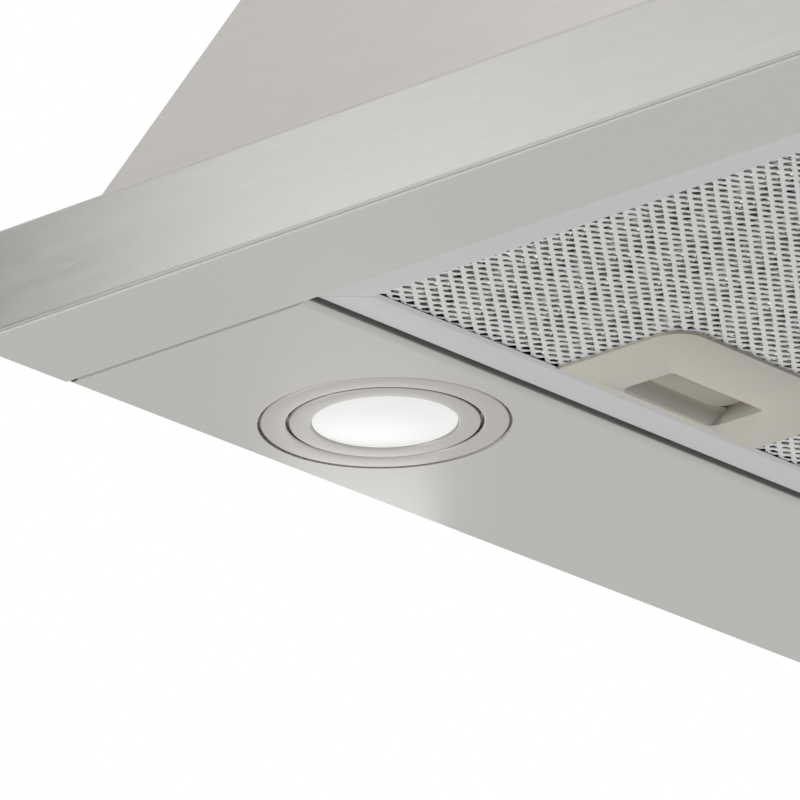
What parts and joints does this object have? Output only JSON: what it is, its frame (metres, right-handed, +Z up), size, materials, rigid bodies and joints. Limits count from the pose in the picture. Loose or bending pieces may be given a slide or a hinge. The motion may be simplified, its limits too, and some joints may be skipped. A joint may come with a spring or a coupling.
{
  "type": "canopy range hood",
  "caption": "Wall-mounted canopy range hood with sloping sheet steel canopy, telescopic chimney, mesh grease filters, lamps, push buttons and a ducted centrifugal blower.",
  "frame": {"origin": "centre of the underside of the band, halfway between the front and the wall", "axes": "+Z up along the chimney, +Y towards the wall, +X to the right seen from the front"},
  "size_m": [0.6, 0.5033, 0.8008],
  "materials": {
    "brushed_steel": "satin",
    "canopy_steel": "satin",
    "inner_steel": "galvanised",
    "frame_aluminium": "satin anodised",
    "mesh_aluminium": "bright",
    "pad_aluminium": "matt",
    "latch_plastic": "moulded",
    "slide_plastic": "moulded",
    "spring_steel": "drawn wire",
    "lamp_metal": "turned satin",
    "lamp_lens": "opal",
    "lamp_housing": "matt",
    "black_plastic": "moulded",
    "button_metal": "satin",
    "white_plastic": "moulded",
    "blower_steel": "galvanised",
    "impeller_metal": "satin",
    "motor_metal": "satin",
    "shaft_steel": "ground",
    "wire_guard": "satin",
    "screw_steel": "zinc plated"
  },
  "bodies": {
    "hood": {"front_skirt": "brushed_steel", "side_skirt_left": "brushed_steel", "side_skirt_right": "brushed_steel", "rear_panel": "brushed_steel", "back_plate": "inner_steel", "canopy": "canopy_steel", "top_frame": "inner_steel", "chimney_lower": "canopy_steel", "chimney_bracket": "inner_steel", "lamp_trim_left": "lamp_metal", "lamp_bezel_left": "lamp_metal", "lamp_lens_left": "lamp_lens", "lamp_body_left": "lamp_housing", "lamp_clips_left": "spring_steel", "scroll_side_left": "blower_steel", "inlet_grille_left": "wire_guard", "lamp_trim_right": "lamp_metal", "lamp_bezel_right": "lamp_metal", "lamp_lens_right": "lamp_lens", "lamp_body_right": "lamp_housing", "lamp_clips_right": "spring_steel", "scroll_side_right": "blower_steel", "inlet_grille_right": "wire_guard", "button_bezel": "black_plastic", "switch_block": "black_plastic", "scroll_wrap": "blower_steel", "motor": "motor_metal", "motor_bracket": "wire_guard", "outlet_collar": "black_plastic", "control_box": "white_plastic", "light_driver": "white_plastic", "cable_gland": "black_plastic", "band_screws": "screw_steel", "blower_screws": "screw_steel", "chimney_screws": "screw_steel", "bracket_screws": "screw_steel"},
    "upper_chimney": {"chimney_upper": "canopy_steel"},
    "impeller": {"impeller": "impeller_metal", "motor_shaft": "shaft_steel"},
    "flap_front": {"flap_front": "inner_steel"},
    "flap_rear": {"flap_rear": "inner_steel"},
    "filter_left": {"filter_frame_left": "frame_aluminium", "filter_mesh_left": "mesh_aluminium", "filter_pad_left": "pad_aluminium", "filter_tabs_left": "frame_aluminium", "latch_housing_left": "latch_plastic", "latch_spring_left": "spring_steel"},
    "latch_left": {"latch_slide_left": "slide_plastic"},
    "filter_right": {"filter_frame_right": "frame_aluminium", "filter_mesh_right": "mesh_aluminium", "filter_pad_right": "pad_aluminium", "filter_tabs_right": "frame_aluminium", "latch_housing_right": "latch_plastic", "latch_spring_right": "spring_steel"},
    "latch_right": {"latch_slide_right": "slide_plastic"},
    "button_1": {"button_1": "button_metal"},
    "button_2": {"button_2": "button_metal"},
    "button_3": {"button_3": "button_metal"},
    "button_4": {"button_4": "button_metal"},
    "button_5": {"button_5": "button_metal"}
  },
  "joints": [
    {"name": "chimney_slide", "type": "slide", "parent": "hood", "child": "upper_chimney", "axis": [0, 0, 1], "range_m": [0, 0.3]},
    {"name": "impeller_spin", "type": "hinge", "parent": "hood", "child": "impeller", "pos_m": [0, 0.052, 0.215], "axis": [1, 0, 0], "continuous": true},
    {"name": "flap_front_hinge", "type": "hinge", "parent": "hood", "child": "flap_front", "pos_m": [0, 0.114, 0.4055], "axis": [-1, 0, 0], "range_deg": [0, 75]},
    {"name": "flap_rear_hinge", "type": "hinge", "parent": "hood", "child": "flap_rear", "pos_m": [0, 0.126, 0.4055], "axis": [1, 0, 0], "range_deg": [0, 75]},
    {"name": "filter_left_swing", "type": "hinge", "parent": "hood", "child": "filter_left", "pos_m": [-0.1298, 0.1622, 0.0042], "axis": [1, 0, 0], "range_deg": [0, 60]},
    {"name": "latch_left_slide", "type": "slide", "parent": "filter_left", "child": "latch_left", "axis": [0, 1, 0], "range_m": [0, 0.006], "stiffness_N_per_m": 250, "springref_m": -0.006, "deforming": ["latch_spring_left"]},
    {"name": "filter_right_swing", "type": "hinge", "parent": "hood", "child": "filter_right", "pos_m": [0.1298, 0.1622, 0.0042], "axis": [1, 0, 0], "range_deg": [0, 60]},
    {"name": "latch_right_slide", "type": "slide", "parent": "filter_right", "child": "latch_right", "axis": [0, 1, 0], "range_m": [0, 0.006], "stiffness_N_per_m": 250, "springref_m": -0.006, "deforming": ["latch_spring_right"]},
    {"name": "button_1_press", "type": "slide", "parent": "hood", "child": "button_1", "axis": [0, 1, 0], "range_m": [0, 0.0025], "stiffness_N_per_m": 400, "springref_m": -0.003},
    {"name": "button_2_press", "type": "slide", "parent": "hood", "child": "button_2", "axis": [0, 1, 0], "range_m": [0, 0.0025], "stiffness_N_per_m": 400, "springref_m": -0.003},
    {"name": "button_3_press", "type": "slide", "parent": "hood", "child": "button_3", "axis": [0, 1, 0], "range_m": [0, 0.0025], "stiffness_N_per_m": 400, "springref_m": -0.003},
    {"name": "button_4_press", "type": "slide", "parent": "hood", "child": "button_4", "axis": [0, 1, 0], "range_m": [0, 0.0025], "stiffness_N_per_m": 400, "springref_m": -0.003},
    {"name": "button_5_press", "type": "slide", "parent": "hood", "child": "button_5", "axis": [0, 1, 0], "range_m": [0, 0.0025], "stiffness_N_per_m": 400, "springref_m": -0.003}
  ]
}
